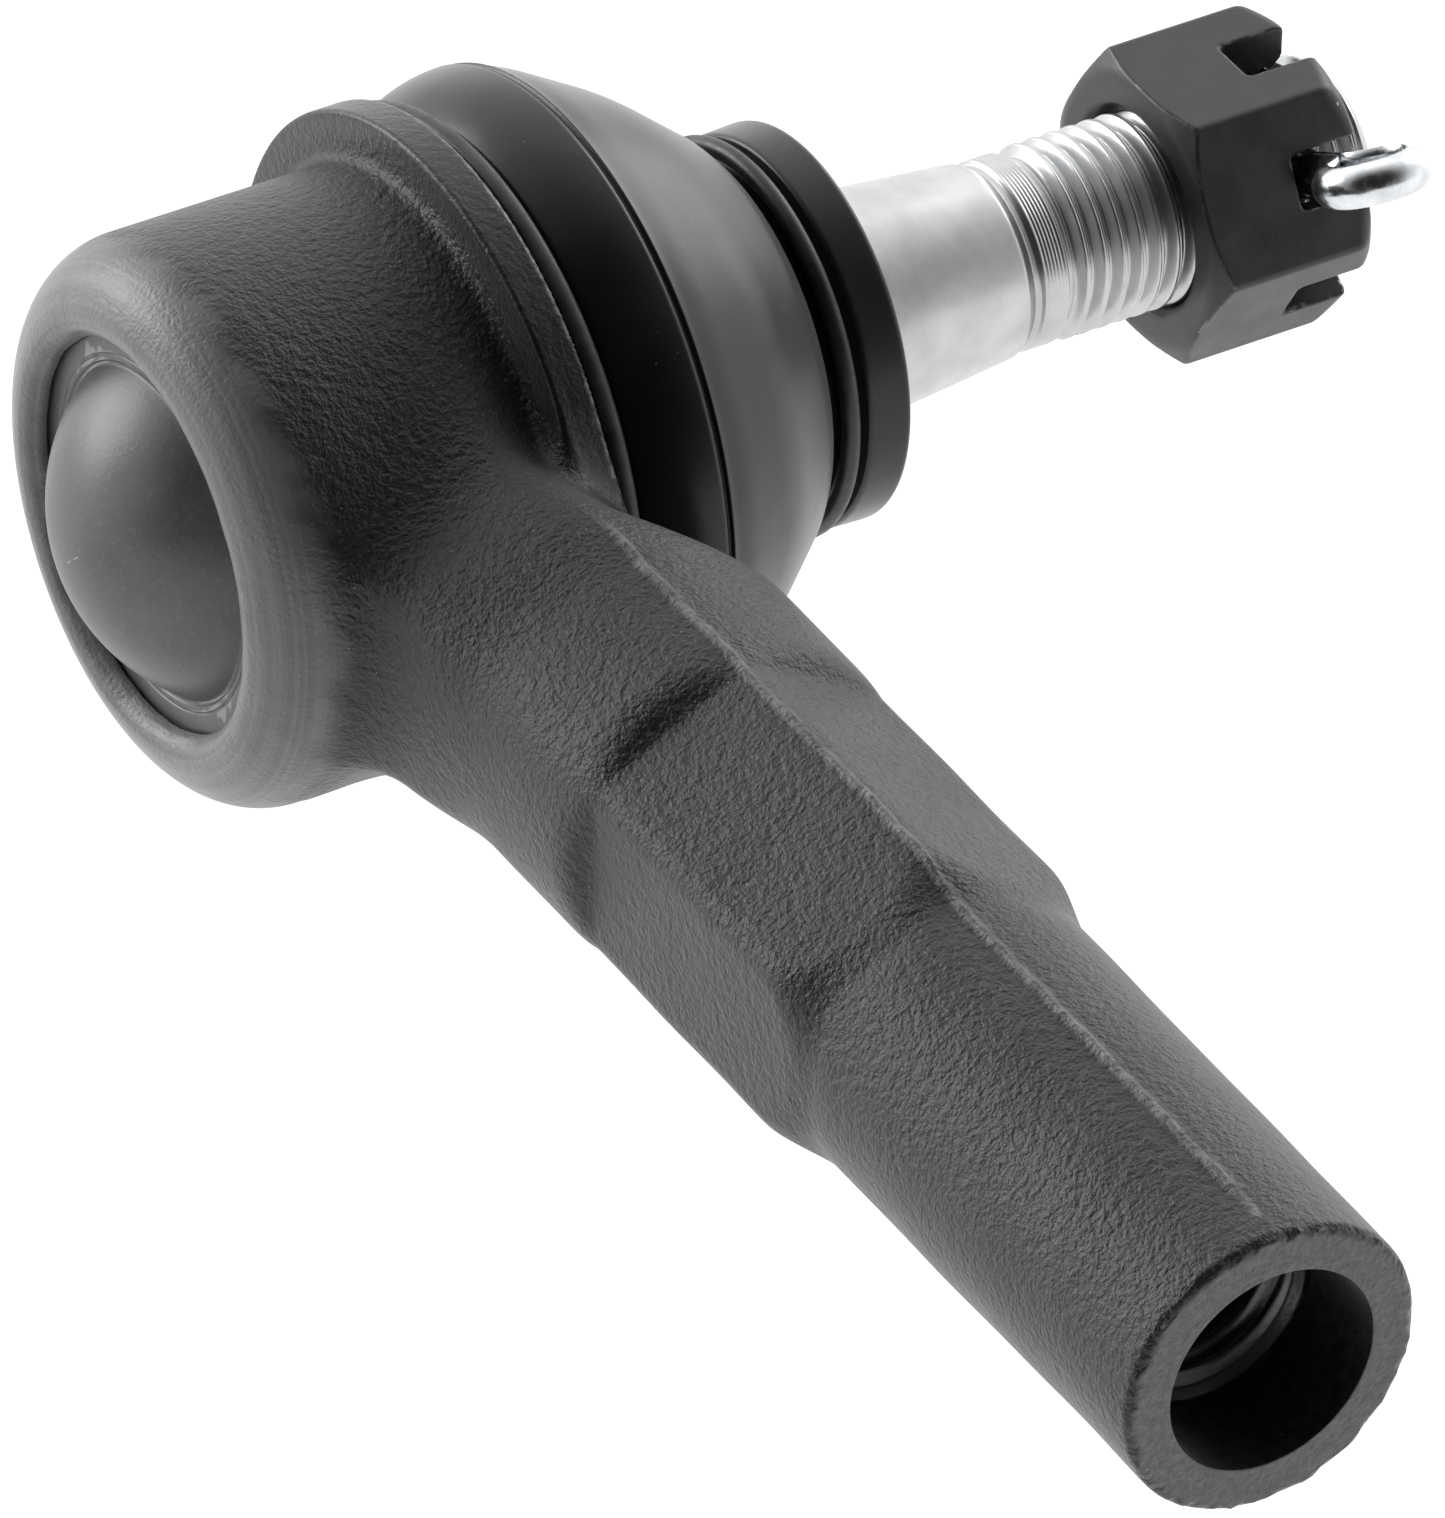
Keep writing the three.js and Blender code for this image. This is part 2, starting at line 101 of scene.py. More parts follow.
ROOT_CENTRE_Y = -4.6
ROOT_HALF_Y = 7.6
ROOT_HALF_Z = 12.2
BAR_START_X = 29
BAR_R = 10.95
TUBE_R = 9.5
SHOULDER_X = (57.9, 63.3)
FLAT_FROM_AXIS = 9.5
FLATS_START_X = 36.9
FLATS_END_X = 66
SEAM_START_X = (23, 27)
SEAM_END_X = (90, 96)
SEAM_WANDER = 0.12

BORE_PITCH = 1.5
BORE_R = 5.9
BORE_CREST_R = 5.1
BORE_MOUTH_R = 6.5
BORE_STEP_X = ARM_END_X - 6.5
BORE_END_X = ARM_END_X - 30

BALL_R = 10.5
NECK_R = 6.3
TAPER_TOP_R = 6.03
TAPER_TOP_Y = 40
THREAD_START_Y = 43.5
THREAD_END_Y = 64.25
STUD_PITCH = 1.25
STUD_CREST_R = 5.95
STUD_ROOT_R = 5.2

PIN_Y = 59.6
PIN_R = 1.3
PIN_HOLE_R = 1.6
SLOT_FLOOR_Y = 57.6
SLOT_W = 3.4
NUT_FLATS = NUT_HIGH[2] - NUT_LOW[2]
NUT_TURNS = (30, 90, 150)

BELLY_Y = 11.2
BOOT_SPLIT_Y = 15.5


# ---------------------------------------------------------------- meshes

def fill_mesh(name, points, faces, normals=None):
    """A smooth mesh from points in millimetres, turned so that its faces look outwards."""
    points = np.asarray(points, float)
    faces = [list(face) for face in faces]
    corners = np.array([face[:3] for face in faces])
    a, b, c = (points[corners[:, i]] for i in range(3))
    if np.einsum("ij,ij->i", a, np.cross(b, c)).sum() < 0:
        faces = [face[::-1] for face in faces]
    mesh = bpy.data.meshes.new(name)
    mesh.from_pydata((points * MM + BALL).tolist(), [], faces)
    mesh.polygons.foreach_set("use_smooth", np.ones(len(faces), bool))
    if normals is not None:
        mesh.normals_split_custom_set_from_vertices(normals.tolist())
    mesh.update()
    return mesh


def outward_normals(points, faces):
    """Smooth normals of a closed surface made of quads."""
    quads = np.array(faces)
    a, b, c, d = (points[quads[:, i]] for i in range(4))
    across = np.cross(c - a, d - b)
    if np.einsum("ij,ij->i", a, across).sum() < 0:
        across = -across
    normals = np.zeros_like(points)
    for corner in range(4):
        np.add.at(normals, quads[:, corner], across)
    return normals / np.maximum(np.linalg.norm(normals, axis=1), 1e-9)[:, None]


def new_piece(name, mesh, material, body, slot, *nodes):
    """An object for the mesh that stands for these CAD nodes and, where a body is given, rides on it."""
    piece = bpy.data.objects.new(name, mesh)
    bpy.context.scene.collection.objects.link(piece)
    mesh.materials.append(material)
    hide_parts(*nodes)
    if body:
        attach(piece, body)
    return piece


def rounded(corners, steps=6, closed=False):
    """The (radius, height) points of an outline with its corners (radius, height, rounding) eased."""
    points = []
    count = len(corners)
    for i, (radius, height, size) in enumerate(corners):
        here = np.array([radius, height], float)
        ends = not closed and i in (0, count - 1)
        if ends or size == 0:
            points.append(here)
            continue
        before = np.array(corners[i - 1][:2]) - here
        after = np.array(corners[(i + 1) % count][:2]) - here
        reach = min(size, 0.49 * np.hypot(*before), 0.49 * np.hypot(*after))
        start = here + before / np.hypot(*before) * reach
        end = here + after / np.hypot(*after) * reach
        for t in np.linspace(0, 1, steps):
            points.append((1 - t) ** 2 * start + 2 * t * (1 - t) * here + t * t * end)
    return np.array(points)


def densified(points, spacing, closed=False):
    """The same outline with no stretch longer than spacing."""
    out = []
    last = len(points) if closed else len(points) - 1
    for i in range(last):
        a, b = points[i], points[(i + 1) % len(points)]
        parts = max(1, int(math.ceil(np.hypot(*(b - a)) / spacing)))
        for k in range(parts):
            out.append(a + (b - a) * k / parts)
    if not closed:
        out.append(points[-1])
    return np.array(out)


def ring_faces(rings, sides, closed):
    """Quads between neighbouring rings, with a face across each end where the rings don't close."""
    spans = rings if closed else rings - 1
    ring, side = np.meshgrid(np.arange(spans), np.arange(sides), indexing="ij")
    beside = (side + 1) % sides
    here = ring * sides
    following = (ring + 1) % rings * sides
    corners = [here + side, here + beside, following + beside, following + side]
    quads = np.stack(corners, -1).reshape(-1, 4).tolist()
    if not closed:
        quads.append(list(range(sides))[::-1])
        quads.append([(rings - 1) * sides + i for i in range(sides)])
    return quads


def turned(outline, sides=144, closed=False, wobble=None, axis="Y"):
    """Points and faces of an outline turned about an axis, with wobble(angle, radius, height) added to it."""
    angle = np.arange(sides) * 2 * math.pi / sides
    radius = np.repeat(outline[:, :1], sides, 1)
    height = np.repeat(outline[:, 1:2], sides, 1)
    if wobble:
        radius = radius + wobble(angle[None, :], radius, height)
    across = radius * np.cos(angle)
    upward = radius * np.sin(angle)
    stacked = (across, height, upward) if axis == "Y" else (height, across, upward)
    points = np.stack(stacked, -1).reshape(-1, 3)
    return points, ring_faces(len(outline), sides, closed)


# ---------------------------------------------------------------- solids from distance fields

def joined(a, b, size):
    """The union of two fields with a fillet of about this size."""
    near = np.maximum(size - np.abs(a - b), 0) / size
    return np.minimum(a, b) - near * near * size / 4


def common(a, b, size):
    """What two fields share, with an eased edge."""
    return -joined(-a, -b, size)


def less(a, b, size):
    """The first field with the second cut away, with an eased edge."""
    return common(a, -b, size)


def eased(x, start, end):
    """0 before start, 1 after end, and smooth between."""
    t = np.clip((x - start) / (end - start), 0, 1)
    return t * t * (3 - 2 * t)


def rounded_disc(rho, y, radius, low, high, rounding):
    """The field of a disc about the Y axis with rounded edges."""
    out = rho - (radius - rounding)
    up = np.abs(y - (low + high) / 2) - ((high - low) / 2 - rounding)
    return np.hypot(np.maximum(out, 0), np.maximum(up, 0)) + np.minimum(np.maximum(out, up), 0) - rounding


def surface_net(field, low, high, step):
    """Points and quads on the zero surface of a field, one point for each grid cell that it crosses."""
    axes = [np.arange(lo, hi + step, step, dtype=np.float32) for lo, hi in zip(low, high)]
    value = field(*np.meshgrid(*axes, indexing="ij"))
    inside = value < 0
    corners = [(i, j, k) for i in (0, 1) for j in (0, 1) for k in (0, 1)]
    cut = [slice(None, -1), slice(1, None)]
    filled = sum(inside[cut[i], cut[j], cut[k]].astype(np.int8) for i, j, k in corners)
    cells = np.argwhere((filled > 0) & (filled < 8))
    number = np.full(filled.shape, -1, np.int64)
    number[tuple(cells.T)] = np.arange(len(cells))
    at_corner = {c: value[tuple((cells + c).T)] for c in corners}
    total = np.zeros((len(cells), 3))
    count = np.zeros(len(cells))
    for a in corners:
        for axis in range(3):
            if a[axis]:
                continue
            b = tuple(1 if n == axis else a[n] for n in range(3))
            va, vb = at_corner[a], at_corner[b]
            crossed = (va < 0) != (vb < 0)
            share = np.where(crossed, va / np.where(crossed, va - vb, 1), 0)
            place = np.array(a, float) + share[:, None] * (np.array(b, float) - np.array(a, float))
            total += place * crossed[:, None]
            count += crossed
    points = (cells + total / count[:, None]) * step + [axis[0] for axis in axes]
    quads = []
    for axis in range(3):
        order = (axis, (axis + 1) % 3, (axis + 2) % 3)
        turned_inside, turned_number = inside.transpose(order), number.transpose(order)
        change = turned_inside[:-1, 1:-1, 1:-1] != turned_inside[1:, 1:-1, 1:-1]
        i, j, k = np.nonzero(change)
        j, k = j + 1, k + 1
        quad = np.stack(
            [turned_number[i, j - 1, k - 1], turned_number[i, j, k - 1],
             turned_number[i, j, k], turned_number[i, j - 1, k]],
            -1,
        )
        facing = turned_inside[i, j, k]
        quads.append(np.where(facing[:, None], quad, quad[:, ::-1]))
    return points, np.concatenate(quads)


def slope(field, points, reach):
    """The field's gradient at each point."""
    out = np.empty_like(points)
    for axis in range(3):
        move = np.zeros(3)
        move[axis] = reach
        out[:, axis] = (field(*(points + move).T) - field(*(points - move).T)) / (2 * reach)
    return out


def solid(field, low, high, step, smooth_over):
    """A mesh of the field with its points pulled onto the surface, and normals from the field itself."""
    points, quads = surface_net(field, low, high, step)
    for _ in range(3):
        gradient = slope(field, points, step / 8)
        pull = field(*points.T) / np.maximum(np.einsum("ij,ij->i", gradient, gradient), 0.05)
        points -= np.clip(pull, -step / 2, step / 2)[:, None] * gradient
    normals = slope(field, points, smooth_over)
    normals /= np.maximum(np.linalg.norm(normals, axis=1), 1e-6)[:, None]
    return points, quads, normals


def unevenness(x, y, z, waves):
    """A gentle rise and fall over a forging, between about -1 and 1."""
    total = 0
    for (a, b, c), phase in waves:
        total = total + np.sin(a * x + b * y + c * z + phase)
    return total / len(waves)


def random_waves(count, shortest, longest):
    """Directions, as wave numbers per mm, and phases for unevenness()."""
    waves = []
    for _ in range(count):
        direction = rng.normal(size=3)
        direction /= np.linalg.norm(direction)
        waves.append((tuple(direction * 2 * math.pi / rng.uniform(shortest, longest)), rng.uniform(0, 6.28)))
    return waves


FORGING_WAVES = random_waves(9, 7, 18)
EDGE_WAVES = random_waves(8, 1.2, 5)
MOUTH_WAVES = random_waves(9, 0.8, 3)


# ---------------------------------------------------------------- socket and arm

def socket_field(x, y, z):
    """The turned socket: rolled lip, barrel, the boot's flange and its spigot."""
    rho = np.hypot(x, z)
    beside_arm = eased(x / np.maximum(rho, 1), 0.2, 0.7)
    crimp_height = 0.06
    crimp = crimp_height * eased(y, -11.5, -11.1) * (1 - eased(y, -10.6, -7)) * beside_arm
    out = rho - (BARREL_R + crimp - LIP_ROUND_R)
    forward = LIP_Y + LIP_ROUND_R - y
    roll = np.hypot(np.maximum(out, 0), np.maximum(forward, 0)) + np.minimum(np.maximum(out, forward), 0)
    barrel = np.maximum(roll - LIP_ROUND_R, y - BARREL_END_Y)
    flange = rounded_disc(rho, y, FLANGE_R, *FLANGE_Y, 0.3)
    spigot = rounded_disc(rho, y, SPIGOT_R, *SPIGOT_Y, 0.3)
    return np.minimum(joined(barrel, flange, 1), spigot)


def six_sided(across, upward, flat_at, turns, easing):
    """The field of a hexagon whose sides are flat_at from its centre, with eased corners."""
    hexagon = None
    for turn in turns:
        a = math.radians(turn)
        side = np.abs(across * math.cos(a) + upward * math.sin(a)) - flat_at
        hexagon = side if hexagon is None else common(hexagon, side, easing)
    return hexagon


def arm_field(x, y, z):
    """The forged arm: an oval root, a round bar with six flats sunk into it, and the round tube."""
    grown = eased(x, 17, BAR_START_X)
    centre_y = ROOT_CENTRE_Y * (1 - grown)
    half_y = ROOT_HALF_Y + (BAR_R - ROOT_HALF_Y) * grown
    half_z = ROOT_HALF_Z + (BAR_R - ROOT_HALF_Z) * grown
    bar_r = BAR_R - (BAR_R - TUBE_R) * eased(x, *SHOULDER_X) - 0.2 * eased(x, 64, 96)
    half_y = np.where(x > BAR_START_X, bar_r, half_y)
    half_z = np.where(x > BAR_START_X, bar_r, half_z)
    across, upward = (y - centre_y) / half_y, z / half_z
    share = np.maximum(np.hypot(across, upward), 1e-3)
    bar = (share - 1) * share / np.maximum(np.hypot(across / half_y, upward / half_z), 1e-3)
    sunk = eased(x, FLATS_START_X, FLATS_START_X + 3.4) * (1 - eased(x, FLATS_END_X - 3, FLATS_END_X))
    flat_at = FLAT_FROM_AXIS + (BAR_R + 0.2 - FLAT_FROM_AXIS) * (1 - sunk)
    hexagon = six_sided(y, z, flat_at, (0, 60, 120), 0.7)
    arm = common(bar, hexagon, 0.6 + 1.4 * (1 - sunk))
    ragged = unevenness(x, y, z, EDGE_WAVES)
    seam_window = eased(x, *SEAM_START_X) * (1 - eased(x, *SEAM_END_X))
    seam_height, seam_width, step_between_dies = 0.28, 0.26, 0.07
    ridge = seam_height * np.exp(-((y - SEAM_WANDER * ragged) / seam_width) ** 2) * (0.75 + 0.5 * ragged)
    mismatch = step_between_dies * np.tanh(y / 0.2)
    near_mouth = eased(x, ARM_END_X - 0.7, ARM_END_X + 0.1)
    worn = near_mouth ** 2 * (0.42 + 0.6 * unevenness(x, y, z, MOUTH_WAVES))
    arm = arm - seam_window * (ridge + mismatch) + worn - 0.1 * unevenness(x, y, z, FORGING_WAVES)
    return np.maximum(arm, np.maximum(x - ARM_END_X, 4 - x))


def housing_field(x, y, z):
    """The whole forging with its ball cavity, cover opening and rod bore."""
    cavity_r, cavity_middle_y, cavity_half = 12, -4.6, 8.7
    throat_r, throat_y, throat_slope = 10.9, 4.1, 0.52
    root_fillet = 4.5
    rho = np.hypot(x, z)
    from_arm = np.hypot(y, z)
    body = joined(socket_field(x, y, z), arm_field(x, y, z), root_fillet)
    rolled_r = OPENING_R + 0.09 * unevenness(x, y, z, EDGE_WAVES)
    opening = np.maximum(rho - rolled_r, y - OPENING_END_Y)
    seat = np.maximum(rho - COVER_EDGE_R - 0.1, np.abs(y - COVER_HIGH[1] + PLATE_T / 2) - 0.9)
    cavity = np.maximum(rho - cavity_r, np.abs(y - cavity_middle_y) - cavity_half)
    throat = np.maximum(rho - (throat_r + throat_slope * (y - throat_y)), throat_y - 0.2 - y)
    body = less(body, opening, 2.0)
    body = less(body, np.minimum(seat, np.minimum(cavity, throat)), 0.3)
    lined = np.maximum(from_arm - BORE_MOUTH_R - 0.2, BORE_END_X - 4 - x)
    return np.maximum(body, -lined)


def thread_wave(turns, crest, root):
    """From 0 in the root to 1 on the crest of a thread, with flats that take these shares of the pitch."""
    away = 2 * np.abs(turns % 1 - 0.5)
    return np.clip((1 - root - away) / (1 - root - crest), 0, 1)


def bore_liner():
    """The rod's bore as a cup about the arm's axis: a machined mouth, chamfer, thread and drill point."""
    outer_r, collar_r = BORE_MOUTH_R + 0.15, BORE_MOUTH_R + 0.7
    face_x = ARM_END_X + 0.005
    back_x = BORE_END_X - 3.4
    chamfer_end = BORE_STEP_X - 0.7
    inner = densified(rounded([
        (collar_r, face_x, 0), (collar_r - 0.02, face_x, 0), (BORE_MOUTH_R, face_x, 0.14),
        (BORE_MOUTH_R, BORE_STEP_X, 0.2), (BORE_R, chamfer_end, 0.1), (BORE_R, BORE_END_X, 0.2),
        (0.02, BORE_END_X - 2.5, 0),
    ]), 0.12)
    outside = [
        (0.02, back_x), (outer_r, back_x), (outer_r, ARM_END_X - 0.8), (collar_r, ARM_END_X - 0.5),
        (collar_r, face_x - 0.01),
    ]
    outline = np.concatenate([outside, inner])

    def ridges(angle, radius, height):
        """The thread's crests, which stand inwards from the bored wall and run out at each end."""
        begins = eased(height, BORE_END_X, BORE_END_X + 1.5)
        ends = 1 - eased(height, chamfer_end - 0.6, chamfer_end)
        wave = thread_wave(height / BORE_PITCH - angle / (2 * math.pi), 0.2, 0.3)
        on_wall = (radius < BORE_R + 0.05) & (radius > 5)
        return np.where(on_wall, -(BORE_R - BORE_CREST_R) * wave * begins * ends, 0)

    points, faces = turned(outline, 120, False, ridges, "X")
    return points, faces[:-2]


def make_housing(material):
    """The forging and its bore's lining in one mesh, marked where it was rolled, faced, bored or parted."""
    margin = 0.9
    shell, shell_faces, shell_normals = solid(
        housing_field, HOUSING_LOW - margin, HOUSING_HIGH + margin, step=0.29, smooth_over=0.08,
    )
    liner, liner_faces = bore_liner()
    points = np.concatenate([shell, liner])
    faces = shell_faces.tolist() + [[i + len(shell) for i in face] for face in liner_faces]
    liner_normals = outward_normals(liner - [ARM_END_X, 0, 0], liner_faces)
    mesh = fill_mesh("housing_look", points, faces, np.concatenate([shell_normals, liner_normals]))
    x, y, z = points.T
    rho = np.hypot(x, z)
    ragged = unevenness(x, y, z, EDGE_WAVES)
    bored = (np.arange(len(points)) >= len(shell)) & (x < ARM_END_X - 0.02)
    along_arm = eased(x, *SEAM_START_X) * (x < ARM_END_X - 2) * (z > 0)
    marks = {
        "lip": 1 - eased(y + 0.8 * ragged, -14.4, -12.0),
        "faced": x > ARM_END_X - 0.08,
        "bored": bored,
        "threaded": bored * (np.hypot(y, z) < 6.35) * (x > BORE_END_X),
        # rim: where a painted highlight line runs along the flange's edge on the boot side
        "rim": eased(y, 4.1, 4.5) * (np.abs(rho - FLANGE_R) < 0.5),
        "band": eased(y, 1.6, 2.2) * eased(rho, 18.2, 19.4) * (x < 24),
        "seam": np.exp(-((y - SEAM_WANDER * ragged) / 0.24) ** 2) * along_arm,
    }
    for key, values in marks.items():
        mesh.attributes.new(key, "FLOAT", "POINT").data.foreach_set("value", values.astype(float))
    new_piece("housing_look", mesh, material, "socket", "forged_black", "socket_housing")


# ---------------------------------------------------------------- turned pieces

def make_cover(material):
    """The pressed cover: a shallow spherical dome with fine grooves round its foot, and a flat flange."""
    inside_y = COVER_HIGH[1]
    plate_y = inside_y - PLATE_T
    rise = plate_y - COVER_LOW[1]
    sphere_r = (COVER_DOME_R ** 2 + rise ** 2) / (2 * rise)
    centre_y = COVER_LOW[1] + sphere_r
    hollow_r = sphere_r - PLATE_T
    apex = 0.015

    def arc(radius, start, end):
        lean = np.linspace(start, end, 30)
        return np.stack([radius * np.sin(lean), centre_y - radius * np.cos(lean)], -1)

    flange = rounded([
        (COVER_DOME_R, plate_y, 0), (10.12, plate_y + 0.14, 0.1), (10.3, plate_y + 0.14, 0.1),
        (10.42, plate_y, 0.1), (10.7, plate_y, 0.08), (10.8, plate_y + 0.1, 0.06), (10.9, plate_y, 0.08),
        (COVER_EDGE_R, plate_y, 0.25), (COVER_EDGE_R, inside_y, 0.25), (9.1, inside_y, 0),
    ])[1:-1]
    dome = arc(sphere_r, apex, math.asin(COVER_DOME_R / sphere_r))
    hollow = arc(hollow_r, math.acos((centre_y - inside_y) / hollow_r), apex)
    outline = densified(np.concatenate([dome, flange, hollow]), 0.5)
    mesh = fill_mesh("cover_look", *turned(outline))
    new_piece("cover_look", mesh, material, "socket", "cover_steel", "cover_plate")


def make_retaining_ring(material):
    """The ring that clamps the boot's foot, with its outer edges well rounded."""
    low, high = RING_LOW[1], RING_HIGH[1]
    inner_r, outer_r = 18.05, RING_HIGH[2]
    corners = [(inner_r, low, 0.3), (outer_r, low, 0.9), (outer_r, high, 0.9), (inner_r, high, 0.3)]
    mesh = fill_mesh("retaining_ring_look", *turned(rounded(corners, 8, True), 160, True))
    new_piece("retaining_ring_look", mesh, material, "socket", "ring_black", "boot_retaining_ring")


def make_neck_ring(material):
    """The round wire ring that holds the boot's small end."""
    wire = (NECK_RING_HIGH[1] - NECK_RING_LOW[1]) / 2
    middle = (NECK_RING_HIGH[1] + NECK_RING_LOW[1]) / 2
    turn = np.linspace(0, 2 * math.pi, 20, endpoint=False)
    outline = np.stack([NECK_RING_HIGH[2] - wire + wire * np.cos(turn), middle + wire * np.sin(turn)], -1)
    mesh = fill_mesh("neck_ring_look", *turned(outline, 128, True))
    new_piece("neck_ring_look", mesh, material, "boot_neck", "ring_black", "boot_neck_ring")


def boot_outline():
    """The closed outline of the boot's wall: foot, belly, cone and grooved small end, then back inside."""
    foot_r, foot_y = 16.35, 4.75
    top_r, top_y = 7.2, 28.6
    bulge_r = 8
    bulge = [
        (BOOT_HIGH[2] - bulge_r + bulge_r * math.cos(a), BELLY_Y + bulge_r * math.sin(a), 0)
        for a in np.radians(np.linspace(-36, -1.2, 14))
    ]
    bulge[0] = (*bulge[0][:2], 0.35)
    outer = densified(rounded([
        (foot_r, foot_y, 0), (17.9, foot_y, 0.15), (17.9, 6.2, 0.2), *bulge,
        (20.2, BELLY_Y + 0.16, 0.12), (20.45, BELLY_Y + 0.34, 0.1), (20.25, BELLY_Y + 0.7, 0.5),
        (19.7, 13.2, 1.5), (17, 17.9, 1.6), (13.35, 22.2, 0.4), (12.25, 23.1, 0.35), (10.9, 23.2, 0.3),
        (10.9, 25.5, 0.2), (12.05, 25.6, 0.35), (12.15, 28.4, 0.35), (11.5, top_y, 0.2), (top_r, top_y, 0),
    ]), 0.35)
    inner = densified(rounded([
        (top_r, top_y, 0), (top_r, 23, 0.4), (9.4, 22, 0.5), (15.2, 16.7, 1.5), (18.3, 11.8, 1.5),
        (18.3, 9.8, 1), (17, 8.4, 0.5), (foot_r, 7.8, 0.3), (foot_r, foot_y, 0),
    ]), 0.6)
    return np.concatenate([outer, inner])


def ring_at(outline, height):
    """A closed outline without doubled points, and with a point wherever it crosses this height."""
    out = []
    for a, b in zip(outline, np.roll(outline, -1, axis=0)):
        if np.hypot(*(b - a)) < 1e-4:
            continue
        out.append(a)
        if (a[1] - height) * (b[1] - height) < 0:
            out.append(a + (b - a) * (height - a[1]) / (b[1] - a[1]))
    return np.array(out)


def mould_flash(angle, radius, height):
    """The ragged line that the mould left round the boot's belly."""
    jag = sum(np.sin(n * angle + n * n) / math.sqrt(n) for n in (3, 7, 11, 17, 29, 43)) / 6
    near = np.exp(-((height - BELLY_Y - 0.2) / 0.25) ** 2)
    return np.where(radius > 19, 0.12 * jag * near, 0)


def make_boot(material):
    """The boot in two shells that meet at a height, so that each bends over a single joint."""
    outline = ring_at(boot_outline(), BOOT_SPLIT_Y)
    sides = 180
    points, faces = turned(outline, sides, True, mould_flash)
    normals = outward_normals(points, faces)
    by_ring = (len(outline), sides, 3)
    for name, side, bodies, start, end in (
        ("boot_belly", -1, ("socket", "boot"), 7.2, BOOT_SPLIT_Y - 0.4),
        ("boot_neck", 1, ("boot", "boot_neck"), BOOT_SPLIT_Y + 0.4, 22.8),
    ):
        chosen = side * (outline[:, 1] - BOOT_SPLIT_Y) > -1e-6
        shell, shell_normals = (
            values.reshape(by_ring)[chosen].reshape(-1, 3) for values in (points, normals)
        )
        mesh = fill_mesh(name, shell, ring_faces(int(chosen.sum()), sides, True), shell_normals)
        piece = new_piece(name, mesh, material, None, "boot_rubber", "dust_boot")
        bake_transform(piece)


# ---------------------------------------------------------------- stud, nut and split pin

def cut_by(piece_mesh, tool_mesh):
    """The first mesh with the second cut out of it."""
    body = bpy.data.objects.new("body", piece_mesh)
    tool = bpy.data.objects.new("tool", tool_mesh)
    for thing in (body, tool):
        bpy.context.scene.collection.objects.link(thing)
    modifier = body.modifiers.new("cut", "BOOLEAN")
    modifier.object = tool
    modifier.solver = "EXACT"
    modifier.operation = "DIFFERENCE"
    graph = bpy.context.evaluated_depsgraph_get()
    result = bpy.data.meshes.new_from_object(body.evaluated_get(graph))
    for thing in (body, tool):
        bpy.data.objects.remove(thing)
    return result


def stud_tooling(angle, radius, height):
    """What the rolled thread and the grooves of the band below it take off the stud's radius."""
    start_depth = 0.7
    turns = height / STUD_PITCH - angle / (2 * math.pi)
    crest_dip = 0.05 * np.clip(1 - 2 * np.abs(turns % 1 - 0.5) / 0.2, 0, 1)
    begun = eased(height, THREAD_START_Y, THREAD_START_Y + 0.9)
    finished = eased(height, THREAD_END_Y - 0.85, THREAD_END_Y)
    groove = (STUD_CREST_R - STUD_ROOT_R) * (1 - thread_wave(turns, 0.2, 0.14))
    depth = groove * begun + crest_dip + start_depth * (1 - begun)
    on_thread = (height > THREAD_START_Y) & (height < THREAD_END_Y - 0.04)
    cut = np.where(on_thread, np.maximum(depth, start_depth * finished), 0)
    band_start, band_end, groove_pitch = 41.55, 42.95, 0.234
    in_band = (height > band_start) & (height < band_end) & (radius > 5.8)
    tooled = 0.022 * (1 - np.cos(2 * math.pi * (height - band_start) / groove_pitch))
    return -cut - np.where(in_band, tooled, 0)


def pin_drill():
    """The rod that cuts the split pin's hole, along the pin's axis."""
    reach, on_axis = 9, 0.02
    side = [(on_axis, -reach), (PIN_HOLE_R, -reach), (PIN_HOLE_R, reach), (on_axis, reach)]
    points, faces = turned(densified(np.array(side, float), 3), 32, axis="X")
    turn = np.array([PIN_AXIS, [0, 1, 0], np.cross(PIN_AXIS, [0, 1, 0])])
    return fill_mesh("drill", points @ turn + [0, PIN_Y, 0], faces)


def make_stud(material):
    """Ball, neck, taper, undercut and thread, with the split pin's hole across the end."""
    lean = np.linspace(math.radians(-66), math.acos(NECK_R / BALL_R), 40)
    ball = np.stack([BALL_R * np.cos(lean), BALL_R * np.sin(lean)], -1)
    shank = rounded([
        (NECK_R, ball[-1][1], 0), (NECK_R, 15, 2), (7.1, 21, 2), (7.1, 29, 0.5),
        (TAPER_TOP_R, TAPER_TOP_Y, 0),
    ])[1:]
    collar = rounded([
        (TAPER_TOP_R, TAPER_TOP_Y, 0), (6, 40.25, 0.15), (5.55, 40.9, 0.1), (5.55, 41.3, 0.1),
        (5.85, 41.45, 0.06), (5.85, 43.05, 0.06), (5.25, 43.4, 0.1), (5.25, THREAD_START_Y, 0),
    ])[1:]
    lower = densified(np.concatenate([[(0.02, ball[0][1])], ball, shank]), 0.5)
    thread_y = np.arange(THREAD_START_Y, THREAD_END_Y - 0.05, 0.05)[1:]
    threaded = np.stack([np.full_like(thread_y, STUD_CREST_R), thread_y], -1)
    tip = rounded([(5.2, THREAD_END_Y, 0), (4.75, STUD_HIGH[1], 0.2), (0.02, STUD_HIGH[1], 0)])
    outline = np.concatenate([lower, densified(collar, 0.04), threaded, tip])
    mesh = cut_by(fill_mesh("stud_look", *turned(outline, 120, False, stud_tooling)), pin_drill())
    mesh.polygons.foreach_set("use_smooth", np.ones(len(mesh.polygons), bool))
    new_piece("stud_look", mesh, material, "stud", "machined_steel", "ball_stud")


